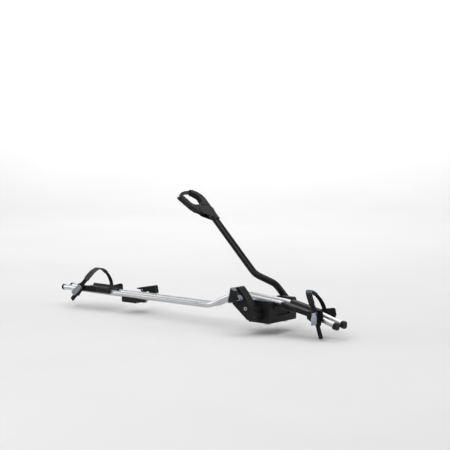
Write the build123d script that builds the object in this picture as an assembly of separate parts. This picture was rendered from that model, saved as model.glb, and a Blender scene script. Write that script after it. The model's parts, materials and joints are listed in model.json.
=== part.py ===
from build123d import *
import os
from math import sin, cos, acos, radians, degrees

# Roof mounted carrier: two parallel tubes on a front foot and a rear foot,
# a swinging arm with a two-jaw claw, a tightening knob at its lower end,
# and two wheel trays with ladder straps.
# Frame: +X forward along the tubes, +Y away from the knob side, +Z up.
# Origin: underside of the front foot, straight below the arm's hinge axis.
# All lengths in millimetres.

# ---------------------------------------------------------------- dimensions
RAIL_Y = 24.5            # half spacing of the two tubes
RAIL_R = 11.0            # tube outer radius
RAIL_WALL = 1.5
RAIL_PTS = [(-1107.0, 31.0), (-290.0, 31.0), (-165.0, 91.0), (62.0, 73.3), (215.0, 43.0), (313.5, 15.8)]
RAIL_RADII = [120.0, 260.0, 120.0, 300.0]
CAP_LEN_F = 18.0
CAP_LEN_R = 10.0

HINGE_Z = 44.0           # arm hinge axis, along Y through x = 0
ARM_R = 13.5             # arm tube outer radius
ARM_WALL = 2.0
BUSH_R = 16.5            # outer radius of the plastic hinge bushes
FIT = 0.05               # radial clearance of running fits

FOOT_X0, FOOT_X1 = -46.0, 54.5
FOOT_Y = 88.0
FOOT_TOP = 86.0
PLINTH_TOP = 26.0
PAD_T = 4.0              # rubber pad under each foot
TOWER_IN = 66.0
SADDLE_Y = 45.0

KNOB_X, KNOB_Z = -67.0, 102.0
HOUSE_Y0, HOUSE_Y1 = -131.0, -91.0
LOCK_X, LOCK_Z, LOCK_R = -26.3, 56.6, 7.0

ARM_PTS = [(0.0, -119.0, HINGE_Z), (0.0, 130.0, HINGE_Z), (-54.0, 95.0, 127.0), (-130.8, 62.0, 162.3), (-331.7, 48.0, 377.1)]
ARM_RADII = [27.0, 70.0, 90.0]

CLAW_O = (-327.9, 48.0, 378.1)   # where the arm's axis enters the claw
CLAW_ANG = 135.8                 # claw's long axis in the XZ plane
CLAW_T = 10.5                    # half thickness
PIV_N = (36.0, -42.0)            # near jaw pivot, in the claw's own plane
PIV_F = (36.0, -8.0)             # far jaw pivot
PIN_R = 4.0

TRAY_Y = 44.0
REAR_TRAY = (-996.0, -828.0)
REAR_FOOT = (-765.0, -686.0)

# ---------------------------------------------------------------- helpers
nodes = {}


def put(name, *solids):
    flat = []
    for s in solids:
        flat += list(s.solids())
    nodes[name] = flat[0] if len(flat) == 1 else Compound(children=flat)


def prism(pts3, vec):
    return extrude(make_face(Polyline(*pts3, close=True)), amount=Vector(*vec).length, dir=vec)


def pxz(pts, y0, y1):
    return prism([(x, y0, z) for x, z in pts], (0, y1 - y0, 0))


def pyz(pts, x0, x1):
    return prism([(x0, y, z) for y, z in pts], (x1 - x0, 0, 0))


def pxy(pts, z0, z1):
    return prism([(x, y, z0) for x, y in pts], (0, 0, z1 - z0))


def box(x0, x1, y0, y1, z0, z1):
    return Pos((x0 + x1) / 2, (y0 + y1) / 2, (z0 + z1) / 2) * Box(x1 - x0, y1 - y0, z1 - z0)


def rod(p, d, r, h):
    return Plane(origin=p, z_dir=d) * Cylinder(r, h, align=(Align.CENTER, Align.CENTER, Align.MIN))


def ring(p, d, r, ri, h):
    return rod(p, d, r, h) - rod(p, d, ri, h)


def hexa(p, d, af, h):
    return extrude(Plane(origin=p, z_dir=d) * RegularPolygon(af / 2, 6, major_radius=False), amount=h, dir=d)


def arc(cx, cy, r, a0, a1, n):
    return [(cx + r * cos(radians(a0 + (a1 - a0) * i / n)), cy + r * sin(radians(a0 + (a1 - a0) * i / n))) for i in range(n + 1)]


def swept(pts, radii, r):
    path = FilletPolyline(*pts, radius=radii)
    return sweep(Plane(origin=path @ 0, z_dir=path % 0) * Circle(r), path=path)


def ribbon(stations, width, thick):
    # stations: (centre, width direction, thickness direction); a flat band
    # with flat-sided spans, closed at both ends
    rings = []
    for c, wd, td in stations:
        c, wd, td = Vector(*c), Vector(*wd).normalized(), Vector(*td)
        td = (td - wd * td.dot(wd)).normalized()
        rings.append([c + wd * (sx * width / 2) + td * (sy * thick / 2) for sx, sy in ((-1, -1), (1, -1), (1, 1), (-1, 1))])
    faces = []

    def tri(a, b, c):
        faces.append(Face(Wire.make_polygon([a, b, c], close=True)))

    for r0, r1 in zip(rings, rings[1:]):
        for k in range(4):
            a, b, c, d = r0[k], r0[(k + 1) % 4], r1[(k + 1) % 4], r1[k]
            tri(a, b, c)
            tri(a, c, d)
    for r in (rings[0], rings[-1]):
        tri(r[0], r[1], r[2])
        tri(r[0], r[2], r[3])
    s = Solid(Shell(faces))
    if s.volume < 0:
        s = Solid(s.wrapped.Reversed())
    return s


# ---------------------------------------------------------------- rails
def rail(y):
    pts = [(x, y, z) for x, z in RAIL_PTS]
    return swept(pts, RAIL_RADII, RAIL_R) - swept(pts, RAIL_RADII, RAIL_R - RAIL_WALL)


rail_n, rail_f = rail(-RAIL_Y), rail(RAIL_Y)


def rail_z(x):
    # height of the tubes' centre line on its straight runs
    for (xa, za), (xb, zb) in zip(RAIL_PTS, RAIL_PTS[1:]):
        if xa <= x <= xb:
            return za + (zb - za) * (x - xa) / (xb - xa)


def tubes_filled():
    # the two tubes as solid rods, for seats that follow their bends
    a, b = [swept([(x, y, z) for x, z in RAIL_PTS], RAIL_RADII, RAIL_R) for y in (-RAIL_Y, RAIL_Y)]
    return a + b


TUBES = tubes_filled()


def both_rails(r, x0, x1):
    # solid rods of radius r along both centre lines between x0 and x1
    out = []
    for y in (-RAIL_Y, RAIL_Y):
        a, b = Vector(x0, y, rail_z(x0)), Vector(x1, y, rail_z(x1))
        out.append(rod(tuple(a), tuple(b - a), r, (b - a).length))
    return out[0] + out[1]


# end plugs: a stem inside the tube and a head outside it
end_d = Vector(RAIL_PTS[-1][0] - RAIL_PTS[-2][0], 0, RAIL_PTS[-1][1] - RAIL_PTS[-2][1]).normalized()
caps_f, caps_r = [], []
for y in (-RAIL_Y, RAIL_Y):
    p = Vector(RAIL_PTS[-1][0], y, RAIL_PTS[-1][1])
    pl = Plane(origin=tuple(p), x_dir=tuple(end_d), z_dir=tuple(Vector(0, 1, 0).cross(end_d) * -1))
    head = pl * (Pos(CAP_LEN_F / 2, 0, -1.0) * Box(CAP_LEN_F, 26, 25.6))
    head = chamfer(head.edges().filter_by(lambda e: abs(e.tangent_at(0).dot(end_d)) > 0.99), 5.0)
    # slanted nose, the lower edge further forward
    nose = pl * prism([(CAP_LEN_F - 5.5, -14, 14), (CAP_LEN_F + 6, -14, 14), (CAP_LEN_F + 6, -14, -14), (CAP_LEN_F, -14, -14)], (0, 28, 0))
    head = head - nose
    stem = rod(tuple(p - end_d * 20), tuple(end_d), RAIL_R - RAIL_WALL - 0.1, 20.5)
    caps_f.append((head + stem).solids()[0])
    q = (RAIL_PTS[0][0], y, RAIL_PTS[0][1])
    h = fillet(rod(q, (-1, 0, 0), 12.5, CAP_LEN_R).edges().group_by(Axis.X)[0], 2.5) - rod((q[0] - CAP_LEN_R, y, q[2]), (1, 0, 0), 8.0, 2.5)
    h = h + rod((q[0] + 18, y, q[2]), (-1, 0, 0), RAIL_R - RAIL_WALL - 0.1, 18.5)
    caps_r.append(h)
put("rail_end_caps_front", *caps_f)
put("rail_end_caps_rear", *caps_r)

# ---------------------------------------------------------------- front foot
foot = box(FOOT_X0, FOOT_X1, -FOOT_Y, FOOT_Y, PAD_T, PLINTH_TOP)
tower_prof = [(-38, PLINTH_TOP - 1), (FOOT_X1, PLINTH_TOP - 1), (FOOT_X1, FOOT_TOP - 6), (FOOT_X1 - 6, FOOT_TOP), (-24, FOOT_TOP), (-38, FOOT_TOP - 24)]
for s in (-1, 1):
    ya, yb = sorted((s * FOOT_Y, s * TOWER_IN))
    foot += pxz(tower_prof, ya, yb)
    # sloping gussets from each tower to the saddle, at the front and back wall
    gus = [(s * (TOWER_IN + 1), PLINTH_TOP - 1), (s * (TOWER_IN + 1), 66), (s * (SADDLE_Y - 1), 38), (s * (SADDLE_Y - 1), PLINTH_TOP - 1)]
    foot += pyz(gus, FOOT_X1 - 12, FOOT_X1)
    foot += pyz(gus, FOOT_X0 + 8, FOOT_X0 + 16)
# saddle block that carries the tubes
foot += pxz([(-38, PLINTH_TOP - 1), (48, PLINTH_TOP - 1), (48, 62), (40, 66), (40, 79), (-38, 71.5)], -SADDLE_Y, SADDLE_Y)
# trough between the two tubes
foot -= box(-60, 70, -RAIL_Y + 13.5, RAIL_Y - 13.5, 60, 120)
foot -= TUBES
foot -= box(-60, 70, -RAIL_Y - RAIL_R, -RAIL_Y + RAIL_R, 77.5, 110) + box(-60, 70, RAIL_Y - RAIL_R, RAIL_Y + RAIL_R, 77.5, 110)
# hinge bores and the clearance way for the arm tube under the rails
for s in (-1, 1):
    ya = min(s * FOOT_Y, s * TOWER_IN)
    foot -= rod((0, ya - 1, HINGE_Z), (0, 1, 0), BUSH_R, FOOT_Y - TOWER_IN + 2)
foot -= rod((0, -SADDLE_Y - 1, HINGE_Z), (0, 1, 0), 15.5, 2 * SADDLE_Y + 2)
# raised rings round the bores on the inner faces of the towers
for s in (-1, 1):
    y0 = s * TOWER_IN
    foot += ring((0, y0, HINGE_Z), (0, -s, 0), 21.5, BUSH_R, 4.0) - box(-30, 30, -90, 90, 0, PLINTH_TOP - 1)
# pockets under the plinth between ribs, deep ones in the saddle and towers
for xa, xb in ((-42, -19), (-15, 15), (20, 50)):
    for ya, yb in ((-84, -70), (-41, -3), (3, 41), (70, 84)):
        foot -= box(xa, xb, ya, yb, PAD_T - 1, 22)
for ya, yb in ((-41, -16), (16, 41)):
    foot -= box(-34, -19, ya, yb, 20, 64) + box(20, 44, ya, yb, 20, 58)
for s in (-1, 1):
    ya, yb = sorted((s * 70, s * 84.5))
    foot -= box(24, 50, ya, yb, 20, 80) + box(-34, -22, ya, yb, 20, 58)
for sx in (-26.0, 36.0):
    for y in (-RAIL_Y, RAIL_Y):
        foot += rod((sx, y, PAD_T), (0, 0, 1), 6.5, rail_z(sx) - 16 - PAD_T)
# bolt holes
BOLT_X, BOLT_Y = 22.0, 55.5
for s in (-1, 1):
    foot -= rod((BOLT_X, s * BOLT_Y, 0), (0, 0, 1), 4.3, 40)
    foot += ring((BOLT_X, s * BOLT_Y, PAD_T), (0, 0, 1), 9.0, 4.3, 20)
# screw holes up into the tubes
SCREW_X = (-26.0, 36.0)
for sx in SCREW_X:
    for y in (-RAIL_Y, RAIL_Y):
        foot -= rod((sx, y, 0), (0, 0, 1), 2.2, 75)
        foot -= rod((sx, y, 0), (0, 0, 1), 4.6, 30)
foot = foot.solids().sort_by(SortBy.VOLUME)[-1]
put("foot_base", foot)

pad = box(FOOT_X0 + 1, FOOT_X1 - 1, -FOOT_Y + 1, FOOT_Y - 1, 0, PAD_T)
for s in (-1, 1):
    pad -= rod((BOLT_X, s * BOLT_Y, -1), (0, 0, 1), 4.3, 8)
put("foot_pad", pad)

# hinge bushes: flanged sleeves pressed into the towers
for nm, s in (("hinge_bush_near", -1), ("hinge_bush_far", 1)):
    b = ring((0, s * TOWER_IN, HINGE_Z), (0, s, 0), BUSH_R, ARM_R + FIT, FOOT_Y - TOWER_IN)
    b += ring((0, s * FOOT_Y, HINGE_Z), (0, s, 0), 21.0, ARM_R + FIT, 1.6)
    put(nm, b)

# bolts with slot plates, with washers and nuts on the foot
tb, wash, nuts = [], [], []
for s in (-1, 1):
    y = s * BOLT_Y
    plate = box(BOLT_X - 10, BOLT_X + 10, y - 10, y + 10, -9, -4.5)
    tb.append(plate + rod((BOLT_X, y, -5), (0, 0, 1), 4.0, 41))
    wash.append(ring((BOLT_X, y, PLINTH_TOP), (0, 0, 1), 8.5, 4.2, 1.6))
    nuts.append(hexa((BOLT_X, y, PLINTH_TOP + 1.6), (0, 0, 1), 13.0, 6.5) - rod((BOLT_X, y, 20), (0, 0, 1), 4.0, 30))
put("foot_slot_bolts", *tb)
put("foot_washers", *wash)
put("foot_nuts", *nuts)

# screws that hold the tubes on the saddle, from below
scr = []
for sx in SCREW_X:
    for y in (-RAIL_Y, RAIL_Y):
        zb = rail_z(sx) - RAIL_R
        scr.append(rod((sx, y, 26.0), (0, 0, 1), 4.3, 4.0) + rod((sx, y, 29.0), (0, 0, 1), 2.0, zb + 4 - 29))
        hole = rod((sx, y, zb - 5), (0, 0, 1), 2.0, 9)
        if y < 0:
            rail_n -= hole
        else:
            rail_f -= hole
put("rail_screws", *scr)
REAR_SCREW_X = -752.0
for y in (-RAIL_Y, RAIL_Y):
    hole = rod((REAR_SCREW_X, y, 15), (0, 0, 1), 2.0, 9)
    if y < 0:
        rail_n -= hole
    else:
        rail_f -= hole
put("rail_near", rail_n)
put("rail_far", rail_f)

# ---------------------------------------------------------------- arm
arm = swept(ARM_PTS, ARM_RADII, ARM_R) - swept(ARM_PTS, ARM_RADII, ARM_R - ARM_WALL)
put("arm_tube", arm)
cable_pts = [(0.0, -112.0, HINGE_Z)] + ARM_PTS[1:-1] + [tuple(Vector(*ARM_PTS[-1]) - (Vector(*ARM_PTS[-1]) - Vector(*ARM_PTS[-2])).normalized() * 11)]
put("tension_cable", swept(cable_pts, ARM_RADII, 1.6))

HOUSE = [(-76.5, 134.5), (-69, 137), (-61, 134.5), (-54, 127.5), (25, 37), (27.5, 29), (24, 19), (12, 12.5), (-20, 13.5), (-91, 68.5), (-93, 81)]
HOUSE_IN = [(-74, 130.5), (-68, 132), (-62, 130), (20, 35), (22.5, 29), (20, 22.5), (11, 17.5), (-18, 18.5), (-86, 71), (-88, 82)]
shell = pxz(HOUSE, HOUSE_Y0 + 6, HOUSE_Y1)
shell = fillet(shell.edges().filter_by(Axis.Y), 3.0)
shell -= pxz(HOUSE_IN, HOUSE_Y0 + 5, HOUSE_Y1 - 4)
shell += rod((0, HOUSE_Y1 - 10, HINGE_Z), (0, 1, 0), 24.0, 11.1)
shell += rod((0, HOUSE_Y0 + 10, HINGE_Z), (0, 1, 0), 18.0, 30.0)
shell -= rod((0, -140, HINGE_Z), (0, 1, 0), ARM_R, 60)
SCR_H = [(-66.0, 123.0), (-76.0, 84.0), (14.0, 27.5)]
for x, z in SCR_H:
    shell += rod((x, HOUSE_Y0 + 6, z), (0, 1, 0), 4.6, 34.0)
    shell -= rod((x, HOUSE_Y0, z), (0, 1, 0), 2.0, 26.0)
shell += rod((KNOB_X, HOUSE_Y1 - 14, KNOB_Z), (0, 1, 0), 9.0, 12.0)
shell -= rod((KNOB_X, HOUSE_Y1 - 15, KNOB_Z), (0, 1, 0), 5.05, 10.0)
put("housing_shell", shell.solids().sort_by(SortBy.VOLUME)[-1])

cover = pxz(HOUSE, HOUSE_Y0, HOUSE_Y0 + 6)
cover = fillet(cover.edges().filter_by(Axis.Y), 3.0)
cover = fillet(cover.edges().group_by(Axis.Y)[0], 2.0)
cover -= rod((KNOB_X, -140, KNOB_Z), (0, 1, 0), 8.0, 20)
cover -= rod((LOCK_X, -140, LOCK_Z), (0, 1, 0), 9.6, 20)
for x, z in SCR_H:
    cover -= rod((x, HOUSE_Y0 - 1, z), (0, 1, 0), 2.1, 12)
    cover -= rod((x, HOUSE_Y0 - 1, z), (0, 1, 0), 3.8, 3.6)
put("housing_cover", cover)
put("housing_screws", *[rod((x, HOUSE_Y0 + 0.4, z), (0, 1, 0), 3.6, 2.2) + rod((x, HOUSE_Y0 + 2.4, z), (0, 1, 0), 1.95, 16) for x, z in SCR_H])
put("spindle_bush", ring((KNOB_X, HOUSE_Y0, KNOB_Z), (0, 1, 0), 8.0, 5.0 + FIT, 12.0))
put("lock_body", ring((LOCK_X, HOUSE_Y0 - 0.6, LOCK_Z), (0, 1, 0), 9.6, LOCK_R + FIT, 24.0) + rod((LOCK_X, HOUSE_Y0 + 23.4, LOCK_Z), (0, 1, 0), 9.6, 2.0))

lockc = rod((LOCK_X, HOUSE_Y0 - 1.4, LOCK_Z), (0, 1, 0), LOCK_R, 22.0)
lockc -= Pos(LOCK_X, HOUSE_Y0 - 1.4, LOCK_Z) * Box(1.3, 9.0, 7.0)
put("lock_cylinder", lockc)

# knob with three lobes, its tip pads and its spindle with a winding drum
KY0, KY1 = -158.0, -134.5
LOBES = [107.0, 227.0, 347.0]
HUB_R, TIP_R, TIP_D = 21.0, 6.5, 29.0   # pick-shaped lobes: hub, tip round, tip centre
PAD_W = 6.5                             # width of the chevron pads on the tips


def lobe(a, y0, y1, back=0.0):
    # hull of the hub and a small circle, set back along the lobe's axis
    ph = degrees(acos((HUB_R - TIP_R) / TIP_D))
    pts = [(HUB_R * cos(radians(ph)), -HUB_R * sin(radians(ph)))] + [(TIP_D + x, y) for x, y in arc(0, 0, TIP_R, -ph, ph, 10)] + [(HUB_R * cos(radians(ph)), HUB_R * sin(radians(ph))), (-2, 0)]
    ca, sa = cos(radians(a)), sin(radians(a))
    return pxz([(KNOB_X + (u - back) * ca - v * sa, KNOB_Z + (u - back) * sa + v * ca) for u, v in pts], y0, y1)


kb = rod((KNOB_X, KY0 + 1, KNOB_Z), (0, 1, 0), HUB_R, KY1 - KY0 - 1)
for a in LOBES:
    kb += lobe(a, KY0, KY1)
kb += rod((KNOB_X, KY1 - 1, KNOB_Z), (0, 1, 0), 15.0, 3.8)
kb += rod((KNOB_X, KY0 - 1.5, KNOB_Z), (0, 1, 0), 12.0, 4)
pads = []
for a in LOBES:
    p = lobe(a, KY0 - 0.8, KY1 - 4) - lobe(a, KY0 - 2, KY1, PAD_W) - rod((KNOB_X, KY0 - 2, KNOB_Z), (0, 1, 0), 23.0, 40)
    p = p.solids().sort_by(SortBy.VOLUME)[-1]
    kb -= p
    pads.append(p)
kb -= rod((KNOB_X, KY0 + 6, KNOB_Z), (0, 1, 0), 5.0, 40)
put("knob_body", kb.solids().sort_by(SortBy.VOLUME)[-1])
put("knob_pads", *pads)
sp = rod((KNOB_X, KY0 + 6, KNOB_Z), (0, 1, 0), 5.0, -98.0 - (KY0 + 6))
put("knob_spindle", sp)
put("winding_drum", ring((KNOB_X, -118.0, KNOB_Z), (0, 1, 0), 11.0, 5.0, 11.0) - ring((KNOB_X, -115.0, KNOB_Z), (0, 1, 0), 12.0, 8.5, 5.0))

# ---------------------------------------------------------------- claw
th = radians(CLAW_ANG)
U = (cos(th), 0.0, sin(th))
W = (-sin(th), 0.0, cos(th))     # thickness direction, away from the top face
CL = Plane(origin=CLAW_O, x_dir=U, z_dir=W)


def claw(pts, w0, w1):
    return CL * prism([(u, v, w0) for u, v in pts], (0, 0, w1 - w0))


def cdisc(c, r, w0, w1):
    return CL * rod((c[0], c[1], w0), (0, 0, 1), r, w1 - w0)


COVER_R = 24.0
cov = [(-9, -12)] + arc(*PIV_N, COVER_R, -158, 38, 12) + arc(*PIV_F, COVER_R, -38, 118, 10) + [(6, 12), (-9, 11)]
JT = 7.2                                   # half thickness of the jaw roots
top = claw(cov, -CLAW_T, -JT - 0.3)
core = claw([(-12, -13), (2, -22), (13, -29), (19, -25), (19, 12), (6, 13), (-12, 13)], -JT - 0.3, JT + 0.3)
core -= cdisc(PIV_N, 16.0, -20, 20) + cdisc(PIV_F, 16.0, -20, 20)
bottom = claw(cov, JT + 0.3, CLAW_T)
arm_end = CL * rod((-16, 0, 0), (1, 0, 0), 15.0, 24.0)
a0, a1 = Vector(*ARM_PTS[-2]), Vector(*ARM_PTS[-1])
ad = (a1 - a0).normalized()
arm_cut = rod(tuple(a1 - ad * 60), tuple(ad), ARM_R, 60.0)
head = bottom + core + arm_end
head -= arm_cut
# guide channel for the slider, along the claw's axis between the pivots
head -= CL * (Pos(5, 0, 0) * Box(30, 9, 9))
head -= claw([(1.4, -24.6), (19.6, -24.6), (19.6, 4.5), (1.4, 4.5)], -3.4, 3.4)
slider = claw([(4, -24), (14, -24), (14, -17), (9, -17), (9, 3), (4, 3)], -3.0, 3.0)
put("jaw_slider", slider)
pins = []
for c in (PIV_N, PIV_F):
    head -= cdisc(c, PIN_R, -20, 20)
    top -= cdisc(c, PIN_R, -20, 20)
    pins.append(cdisc(c, PIN_R, -CLAW_T + 0.3, CLAW_T - 0.3))
top -= CL * rod((-16, 0, 0), (1, 0, 0), 15.0, 24.0)
csc = [(12.0, -16.0), (12.0, 4.0)]
for c in csc:
    top -= cdisc(c, 2.0, -20, 0)
    top -= cdisc(c, 3.6, -20, -CLAW_T + 1.4)
    head -= cdisc(c, 2.0, -JT - 0.3, -4.2)
put("claw_head", head.solids().sort_by(SortBy.VOLUME)[-1])
put("claw_cover", top.solids().sort_by(SortBy.VOLUME)[-1])
put("claw_cover_screws", *[cdisc(c, 3.4, -CLAW_T + 0.1, -CLAW_T + 1.4) + cdisc(c, 2.0, -CLAW_T + 1.3, -4.4) for c in csc])
put("jaw_pivot_pins", *pins)

near_f = [(26, -57), (41, -85), (58, -98), (82, -108.5), (103, -117), (115, -122), (123, -121), (126, -113), (122, -105), (96, -95), (80, -90), (70, -82), (65, -70), (64, -55), (62, -49), (54, -45), (46, -47)]
far_f = [(40, 12), (62, 13), (92, 14), (112, 9), (130, -7), (141, -26), (145, -45), (144, -70), (139, -92), (135, -101), (129, -101), (128, -92), (131, -70), (130, -48), (124, -32), (114, -20), (100, -14), (86, -17), (74, -25), (66, -34), (62, -36), (52, -12)]


def jaw(pts, piv):
    thin = claw(pts, -JT, JT) + cdisc(piv, 15.0, -JT, JT)
    thick = claw(pts, -CLAW_T, CLAW_T) - cdisc(piv, COVER_R + 2.0, -20, 20)
    return thin, thick


tn, kn = jaw(near_f, PIV_N)
jn = tn + kn
jn -= CL * (Pos(118, -112, 0) * Box(44, 60, 8.4))
jn -= cdisc(PIV_N, PIN_R + FIT, -20, 20)
tf, kf = jaw(far_f, PIV_F)
jf = tf + kf
slot = claw([(90, -42), (160, -42), (160, -120), (90, -120)], -30, 30)
jf -= slot - claw([(90, -42), (160, -42), (160, -120), (90, -120)], -3.6, 3.6)
jf -= cdisc(PIV_F, PIN_R + FIT, -20, 20)
# keep each jaw's thick part off the other pivot's cover disc
kcut = cdisc(PIV_F, COVER_R + 2.0, -20, -JT) + cdisc(PIV_F, COVER_R + 2.0, JT, 20)
kcut2 = cdisc(PIV_N, COVER_R + 2.0, -20, -JT) + cdisc(PIV_N, COVER_R + 2.0, JT, 20)
jn -= kcut
jf -= kcut2
# and over the last degrees of its closing travel
for t in (0.0, 3.0, 6.0, 9.0):
    c = (PIV_F[0] + (PIV_F[1] - PIV_N[1]) * sin(radians(t)), PIV_F[1] - (PIV_F[1] - PIV_N[1]) * cos(radians(t)))
    jf -= cdisc(c, COVER_R + 2.0, -20, -JT) + cdisc(c, COVER_R + 2.0, JT, 20)
# pads on the gripping faces
pad_n_pts = [(66, -56), (67, -70), (72, -81), (81, -88.5), (95, -93.5), (95, -96.5), (79, -91.5), (69, -83), (63.5, -70.5), (62.5, -57)]
pad_f_pts = [(86, -20), (100, -17.5), (111, -23), (121, -34), (127, -44), (131, -44), (125, -31), (114.5, -19), (100, -13), (85, -16)]
padn = claw(pad_n_pts, -CLAW_T + 1.5, CLAW_T - 1.5)
padf = claw(pad_f_pts, -CLAW_T + 1.5, CLAW_T - 1.5)
jn -= padn
jf -= padf
put("jaw_near", jn.solids().sort_by(SortBy.VOLUME)[-1])
put("jaw_far", jf.solids().sort_by(SortBy.VOLUME)[-1])
put("jaw_pad_near", padn.solids().sort_by(SortBy.VOLUME)[-1])
put("jaw_pad_far", padf.solids().sort_by(SortBy.VOLUME)[-1])

# ---------------------------------------------------------------- rear wheel tray
X0, X1 = REAR_TRAY
prof = [(-TRAY_Y, 28), (TRAY_Y, 28), (TRAY_Y, 52), (TRAY_Y - 3.5, 52), (34, 43.6), (-34, 43.6), (-TRAY_Y + 3.5, 52), (-TRAY_Y, 52)]
tray_r = pyz(prof, X0, X1)
# the far flank rises to a rounded end in front
tray_r += pxz([(X1 - 62, 50), (X1 - 20, 61), (X1 - 12, 63), (X1 - 4, 61.5), (X1, 56), (X1, 46), (X1 - 62, 46)], TRAY_Y - 3.5, TRAY_Y)
RUN = 0.3
tray_r -= both_rails(RAIL_R + RUN, X0 - 5, X1 + 5)
for y in (-RAIL_Y, RAIL_Y):
    tray_r -= box(X0 - 5, X1 + 5, y - RAIL_R - RUN + 0.5, y + RAIL_R + RUN - 0.5, 10, 29.5)
for xa, xb in ((X0 + 8, X0 + 42), (X0 + 56, X0 + 108), (X0 + 116, X1 - 8)):
    tray_r -= box(xa, xb, -(RAIL_Y - 14.8), RAIL_Y - 14.8, 20, 60)
# vertical groove in the near flank and a shallow bare panel
tray_r -= box(X0 + 47.5, X0 + 50.5, -TRAY_Y - 1, -TRAY_Y + 0.8, 20, 60)

# ---------------------------------------------------------------- front wheel tray
fd = Vector(RAIL_PTS[4][0] - RAIL_PTS[3][0], 0, RAIL_PTS[4][1] - RAIL_PTS[3][1]).normalized()
FT = Plane(origin=(75.8, 0, rail_z(75.8)), x_dir=tuple(fd), z_dir=tuple(fd.cross(Vector(0, 1, 0))))


def ft_prof(s0, s1, w0, w1, lip):
    ra, rb, rc, rd = RAIL_Y + 2.7, RAIL_Y - 3.3, RAIL_Y - 15.3, RAIL_Y - 16.3
    pts = [(-TRAY_Y, -5.5), (-ra, -5.5), (-rb, w0), (rb, w0), (ra, -5.5), (TRAY_Y, -5.5), (TRAY_Y, w1), (lip, w1), (rc, 0), (rd, w0 + 3.5), (-rd, w0 + 3.5), (-rc, 0), (-lip, w1), (-TRAY_Y, w1)]
    return FT * prism([(s0, y, w) for y, w in pts], (s1 - s0, 0, 0))


FTL = 74.0
tray_f = ft_prof(0, FTL, -13.5, 12.5, RAIL_Y - 6.3)
tray_f -= TUBES
put("front_wheel_tray", tray_f.solids().sort_by(SortBy.VOLUME)[-1])

# strap bracket in front of it: clips round the tubes and carries both strap ends
mount_f = ft_prof(FTL + 0.6, FTL + 66, -13.0, 12.5, RAIL_Y - 6.3)
# its front end: a web under the tubes and two upturned flanks
fe = Vector(RAIL_PTS[5][0] - RAIL_PTS[4][0], 0, RAIL_PTS[5][1] - RAIL_PTS[4][1]).normalized()
FE = Plane(origin=(RAIL_PTS[4][0], 0, RAIL_PTS[4][1]), x_dir=tuple(fe), z_dir=tuple(fe.cross(Vector(0, 1, 0))))
web = [(-TRAY_Y, -13.5), (TRAY_Y, -13.5), (TRAY_Y, -3), (RAIL_Y - 12.3, -5), (RAIL_Y - 15.3, -10), (-RAIL_Y + 15.3, -10), (-RAIL_Y + 12.3, -5), (-TRAY_Y, -3)]
mount_f += FE * prism([(-8, y, w) for y, w in web], (44, 0, 0))
flank = [(200, 58), (262, 69), (270, 66), (275, 44), (260, 9), (228, 16), (200, 31)]
for s in (-1, 1):
    ya, yb = sorted((s * TRAY_Y, s * (TRAY_Y - 3.6)))
    mount_f += pxz(flank, ya, yb)
mount_f -= TUBES

# ---------------------------------------------------------------- strap buckles
LIFT = 22.0              # how far the buckle levers stand off their straps
STRAP_W, STRAP_T = 19.0, 3.2
BUCKLES = {
    "rear": ((-995.0, -48.0, 34.0), Vector(-0.62, 0, -0.785).normalized(), (-9.0, -20.0)),
    "front": ((247.5, -48.0, 39.0), Vector(0.26, 0, -0.965).normalized(), (0.0, 18.0)),
}
PIN_S, PIN_H = -17.0, 8.2
LP = [(0, -3.7), (7, -3.4), (37, -2.4), (44, 0.2), (46, 2.4), (44, 4.4), (38, 5.4), (24, 6.2), (11, 5.2), (3, 3.9), (0, 3.9)]
for nm, (c, d, riv) in BUCKLES.items():
    BP = Plane(origin=c, x_dir=tuple(d), z_dir=(0, -1, 0))
    base = Pos(0, 0, -2) * Box(62, 25, 4)
    base = fillet(base.edges().filter_by(Axis.Z), 4.0)
    for t in (-1, 1):
        ear = prism([(PIN_S - 10, t * 10.2, 0), (PIN_S + 12, t * 10.2, 0), (PIN_S + 5, t * 10.2, PIN_H + 4.4), (PIN_S - 5, t * 10.2, PIN_H + 4.4)], (0, t * 2.3, 0))
        base += ear
    base -= rod((PIN_S, -15, PIN_H), (0, 1, 0), 2.0, 30)
    rivs = []
    for r in riv:
        base -= rod((r, 0, -8), (0, 0, 1), 2.0, 12)
        base -= rod((r, 0, -1.4), (0, 0, 1), 3.6, 3)
        rivs.append(BP * (rod((r, 0, -7.0), (0, 0, 1), 2.0, 5.8) + rod((r, 0, -1.4), (0, 0, 1), 3.5, 1.2)))
    put(f"{nm}_buckle_base", BP * base)
    put(f"{nm}_buckle_rivets", *rivs)
    put(f"{nm}_buckle_pin", BP * rod((PIN_S, -12.7, PIN_H), (0, 1, 0), 2.0, 25.4))
    lev = prism([(x, -9.7, z) for x, z in LP], (0, 19.4, 0)) + rod((0, -9.7, 0), (0, 1, 0), 3.9, 19.4)
    lev -= rod((0, -12, 0), (0, 1, 0), 2.0 + FIT, 24)
    put(f"{nm}_buckle_lever", BP * (Pos(PIN_S, 0, PIN_H) * (Rotation(0, -LIFT, 0) * lev)))
    for r in riv:
        hole = BP * rod((r, 0, -8), (0, 0, 1), 2.0, 12)
        if nm == "rear":
            tray_r -= hole
        else:
            mount_f -= hole


def strap_stations(rows, d):
    wn = (d.Z, 0, -d.X)
    out = []
    for x, y, z, a, k in rows:
        # a: lean of the outward side from -Y (0) over +Z (90) to +Y (180)
        # k: share of the buckle's direction in the width direction
        w = Vector(-wn[0], 0, -wn[2]) * k + Vector(1, 0, 0) * (1 - k)
        out.append(((x, y, z), tuple(w), (0, -cos(radians(a)), sin(radians(a)))))
    return out


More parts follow.
